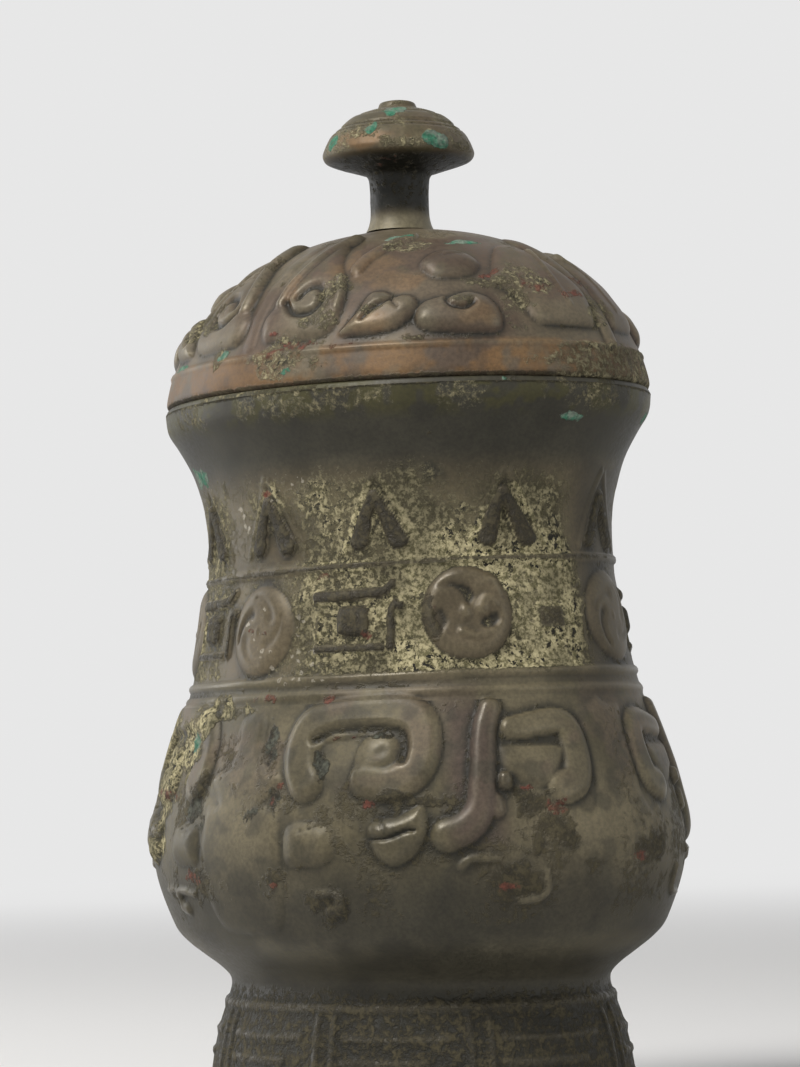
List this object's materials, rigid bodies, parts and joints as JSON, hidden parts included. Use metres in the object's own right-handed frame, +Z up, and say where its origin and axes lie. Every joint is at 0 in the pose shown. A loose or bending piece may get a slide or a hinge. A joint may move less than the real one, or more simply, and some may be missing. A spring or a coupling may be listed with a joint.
{
  "type": "lidded bronze zhi wine vessel",
  "caption": "Oval bronze wine cup on a flared foot ring, with a swelling belly, a flared mouth, and a domed cover that lifts off by a mushroom knob.",
  "frame": {"origin": "centre of the foot ring's resting plane", "axes": "+Z up along the vessel, X along the oval section's long axis, Y along its short axis with the broad faces looking along -Y and +Y"},
  "size_m": [0.1004, 0.0804, 0.1743],
  "materials": {
    "vessel_bronze": "cast bronze with an olive and pale green patina, satin on the worn relief",
    "cover_bronze": "cast bronze with a grey-brown patina, satin on the worn relief",
    "knob_bronze": "cast bronze with a grey-green patina and malachite spots"
  },
  "bodies": {
    "vessel": {"vessel_body": "vessel_bronze"},
    "cover": {"cover": "cover_bronze", "knob": "knob_bronze"}
  },
  "joints": [
    {"name": "cover_lift", "type": "slide", "parent": "vessel", "child": "cover", "axis": [0, 0, 1], "range_m": [0, 0.06]}
  ]
}
